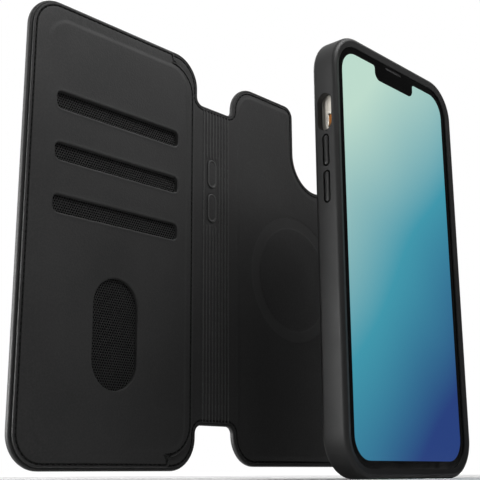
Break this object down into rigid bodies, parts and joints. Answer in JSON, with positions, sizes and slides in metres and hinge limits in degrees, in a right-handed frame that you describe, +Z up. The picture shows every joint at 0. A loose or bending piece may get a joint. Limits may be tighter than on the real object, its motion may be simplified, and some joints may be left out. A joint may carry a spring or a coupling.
{
  "type": "phone wallet case",
  "caption": "Black leather folio phone wallet, opened flat: card pocket cover, ribbed spine, magnetic back panel, and a slim inner case that docks on it.",
  "frame": {"origin": "centre of the footprint of the opened folio and its case, at the height that the case stands on", "axes": "+X along the opened folio from the card cover to the back panel, +Y from the screen towards the folio's outer face, +Z up"},
  "size_m": [0.1812, 0.0586, 0.1668],
  "materials": {
    "outer_leather": "matt, fine grain",
    "lining_leather": "matt, fine grain",
    "pocket_leather": "matt, fine grain, padded",
    "woven_mesh": "woven",
    "board": "pressed fibre board",
    "thread": "twisted thread",
    "magnet": "plated",
    "bumper": "soft matt",
    "case_plate": "fine matt",
    "case_button": "soft matt",
    "phone_metal": "satin anodised",
    "bezel_glass": "polished",
    "screen": "lit, abstract gradient",
    "earpiece_mesh": "fine mesh",
    "back_glass": "polished",
    "lens": "polished, coated",
    "flash_lens": "ribbed",
    "phone_core": "cast",
    "socket_steel": "plated"
  },
  "bodies": {
    "back_panel": {"back_outer_skin": "outer_leather", "back_board": "board", "back_lining": "lining_leather", "folio_magnet_ring": "magnet", "back_stitching": "thread", "rear_fold_skin": "outer_leather", "rear_fold_lining": "lining_leather"},
    "spine": {"spine_outer_skin": "outer_leather", "spine_board": "board", "spine_lining": "lining_leather", "spine_stitching": "thread"},
    "spine_up_pad": {"spine_volume_up_pad": "lining_leather"},
    "spine_down_pad": {"spine_volume_down_pad": "lining_leather"},
    "front_cover": {"cover_outer_skin": "outer_leather", "cover_board": "board", "cover_lining": "lining_leather", "card_pocket_panel": "pocket_leather", "card_sleeve_top": "woven_mesh", "card_sleeve_middle": "woven_mesh", "card_sleeve_bottom": "woven_mesh", "pocket_stitching": "thread", "cover_stitching": "thread", "front_fold_skin": "outer_leather", "front_fold_lining": "lining_leather"},
    "inner_case": {"case_frame": "bumper", "case_back_plate": "case_plate", "case_magnet_ring": "magnet", "phone_frame": "phone_metal", "phone_front_glass": "bezel_glass", "phone_display": "screen", "phone_earpiece": "earpiece_mesh", "phone_front_camera": "bezel_glass", "phone_back_glass": "back_glass", "phone_camera_plate": "phone_metal", "phone_camera_lenses": "lens", "phone_flash": "flash_lens", "phone_internals": "phone_core", "phone_charging_socket": "socket_steel"},
    "volume_up_button": {"case_volume_up_button": "case_button"},
    "volume_down_button": {"case_volume_down_button": "case_button"},
    "side_button": {"case_side_button": "case_button"},
    "volume_up_key": {"phone_volume_up_key": "phone_metal"},
    "volume_down_key": {"phone_volume_down_key": "phone_metal"},
    "side_key": {"phone_side_key": "phone_metal"},
    "ring_switch": {"phone_ring_switch": "phone_metal"}
  },
  "joints": [
    {"name": "rear_fold", "type": "hinge", "parent": "back_panel", "child": "spine", "pos_m": [0.00415, 0.02687, 0.0834], "axis": [0, 0, 1], "range_deg": [-90, 90], "deforming": ["rear_fold_skin", "rear_fold_lining"]},
    {"name": "front_fold", "type": "hinge", "parent": "spine", "child": "front_cover", "pos_m": [-0.00865, 0.02687, 0.0834], "axis": [0, 0, 1], "range_deg": [-90, 90], "deforming": ["front_fold_skin", "front_fold_lining"]},
    {"name": "magnetic_dock", "type": "slide", "parent": "back_panel", "child": "inner_case", "axis": [0, 1, 0], "range_m": [0, 0.04495]},
    {"name": "volume_up_press", "type": "slide", "parent": "inner_case", "child": "volume_up_button", "axis": [1, 0, 0], "range_m": [0, 0.00035], "stiffness_N_per_m": 2000},
    {"name": "volume_down_press", "type": "slide", "parent": "inner_case", "child": "volume_down_button", "axis": [1, 0, 0], "range_m": [0, 0.00035], "stiffness_N_per_m": 2000},
    {"name": "side_button_press", "type": "slide", "parent": "inner_case", "child": "side_button", "axis": [-1, 0, 0], "range_m": [0, 0.00035], "stiffness_N_per_m": 2000},
    {"name": "volume_up_key_press", "type": "slide", "parent": "inner_case", "child": "volume_up_key", "axis": [1, 0, 0], "range_m": [0, 0.00035]},
    {"name": "volume_down_key_press", "type": "slide", "parent": "inner_case", "child": "volume_down_key", "axis": [1, 0, 0], "range_m": [0, 0.00035]},
    {"name": "side_key_press", "type": "slide", "parent": "inner_case", "child": "side_key", "axis": [-1, 0, 0], "range_m": [0, 0.00035]},
    {"name": "ring_switch_slide", "type": "slide", "parent": "inner_case", "child": "ring_switch", "axis": [0, -1, 0], "range_m": [0, 0.0009]},
    {"name": "spine_volume_up_press", "type": "slide", "parent": "spine", "child": "spine_up_pad", "axis": [0, -1, 0], "range_m": [0, 0.001], "stiffness_N_per_m": 800},
    {"name": "spine_volume_down_press", "type": "slide", "parent": "spine", "child": "spine_down_pad", "axis": [0, -1, 0], "range_m": [0, 0.001], "stiffness_N_per_m": 800}
  ],
  "couplings": [
    {"joint": "volume_up_key_press", "follows": "volume_up_press", "ratio": 1},
    {"joint": "volume_down_key_press", "follows": "volume_down_press", "ratio": 1},
    {"joint": "side_key_press", "follows": "side_button_press", "ratio": 1}
  ]
}
